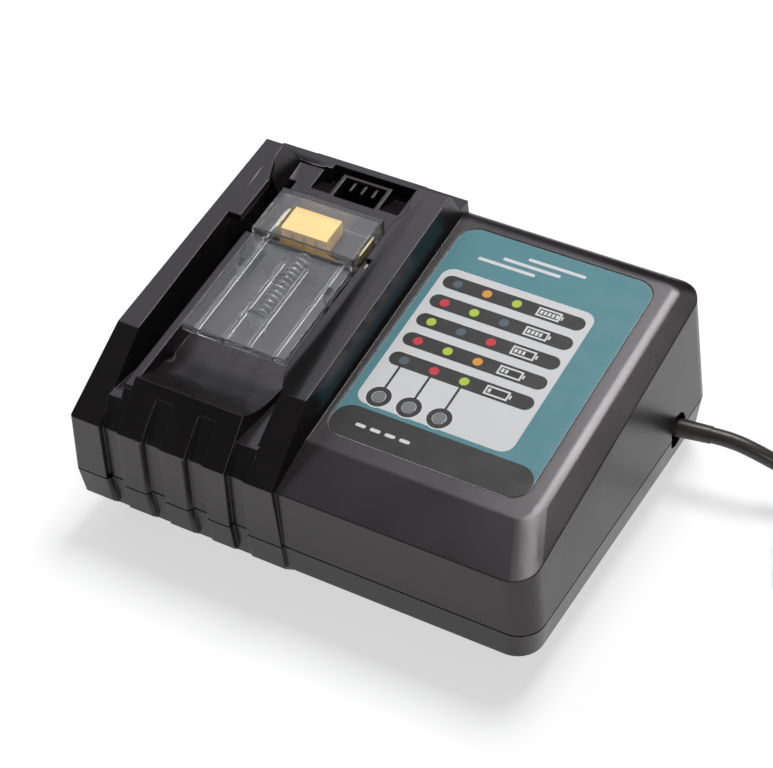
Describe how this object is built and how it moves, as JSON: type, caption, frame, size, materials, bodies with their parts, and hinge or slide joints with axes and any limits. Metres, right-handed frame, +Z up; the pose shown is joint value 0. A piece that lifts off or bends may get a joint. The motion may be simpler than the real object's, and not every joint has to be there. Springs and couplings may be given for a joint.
{
  "type": "power tool battery charger",
  "caption": "Desktop charger for slide-on tool battery packs, with railed bay, sprung clear terminal cover, indicator lenses, cooling fan and coiled mains cord.",
  "frame": {"origin": "on the floor under the middle of the housing, midway between its side walls and between the front of its ribs and its rear wall", "axes": "+X to the right, towards the mains cord; +Y to the back; +Z up. The battery slides in from the front, towards +Y and up the slope"},
  "size_m": [0.3579, 0.1602, 0.0856],
  "materials": {
    "housing_plastic": "fine satin texture",
    "clear_cover": "clear moulded plastic",
    "label_film": "printed film",
    "lens_plastic": "translucent grey",
    "terminal_plastic": "yellow moulded plastic",
    "contact_metal": "plated contact metal",
    "spring_steel": "drawn wire",
    "screw_steel": "zinc plated",
    "circuit_board": "solder mask",
    "ferrite": "sintered ferrite",
    "bobbin_plastic": "moulded phenolic",
    "winding_tape": "yellow winding tape",
    "copper": "enamelled copper wire",
    "capacitor_sleeve": "shrink sleeve",
    "sink_aluminium": "extruded",
    "epoxy": "moulded epoxy",
    "film_case": "moulded case",
    "fuse_glass": "glass tube with metal clips",
    "connector_plastic": "natural nylon",
    "lead_red": "insulated wire",
    "lead_black": "insulated wire",
    "ribbon": "flat cable",
    "fan_plastic": "moulded plastic",
    "duct_plastic": "moulded plastic",
    "cord_rubber": "flexible jacket",
    "plug_plastic": "moulded plug",
    "pin_metal": "nickel plated",
    "foot_rubber": "soft rubber",
    "tie_plastic": "flexible strap"
  },
  "bodies": {
    "housing": {"upper_housing": "housing_plastic", "lower_housing": "housing_plastic", "label_panel": "label_film", "indicator_lens_left": "lens_plastic", "indicator_lens_middle": "lens_plastic", "indicator_lens_right": "lens_plastic", "indicator_board": "circuit_board", "indicator_lamps": "connector_plastic", "indicator_screws": "screw_steel", "ribbon_cable": "ribbon", "cover_spring": "spring_steel", "terminal_block": "terminal_plastic", "signal_contacts": "contact_metal", "positive_blade": "contact_metal", "negative_blade": "contact_metal", "terminal_board": "circuit_board", "terminal_screws": "screw_steel", "main_board": "circuit_board", "board_screws": "screw_steel", "transformer_core": "ferrite", "transformer_bobbin": "bobbin_plastic", "transformer_winding": "winding_tape", "input_capacitor": "capacitor_sleeve", "output_capacitors": "capacitor_sleeve", "heat_sink_primary": "sink_aluminium", "heat_sink_secondary": "sink_aluminium", "power_transistor": "epoxy", "rectifier_diode": "epoxy", "line_choke": "copper", "output_choke": "copper", "film_capacitor": "film_case", "fuse": "fuse_glass", "buzzer": "epoxy", "control_chip": "epoxy", "mains_connector": "connector_plastic", "battery_lead_positive": "lead_red", "battery_lead_negative": "lead_black", "fan_lead": "lead_red", "fan_frame": "fan_plastic", "fan_coil": "copper", "fan_screws": "screw_steel", "air_duct": "duct_plastic", "cord_bushing": "cord_rubber", "cord_jacket": "cord_rubber", "mains_conductors": "lead_black", "cord_clamp": "duct_plastic", "clamp_screws": "screw_steel", "mains_cord": "cord_rubber", "cord_coil": "cord_rubber", "coil_tie": "tie_plastic", "cord_tail": "cord_rubber", "plug_body": "plug_plastic", "plug_pins": "pin_metal", "rubber_feet": "foot_rubber", "housing_screws": "screw_steel"},
    "cover": {"terminal_cover": "clear_cover"},
    "fan": {"fan_rotor": "fan_plastic"}
  },
  "joints": [
    {"name": "cover_slide", "type": "slide", "parent": "housing", "child": "cover", "axis": [0, 0.9896, 0.1437], "range_m": [0, 0.0125], "stiffness_N_per_m": 290, "springref_m": -0.004, "deforming": ["cover_spring"]},
    {"name": "fan_spin", "type": "hinge", "parent": "housing", "child": "fan", "pos_m": [-0.0503, 0.047, 0.015], "axis": [0, 0, 1], "continuous": true}
  ]
}
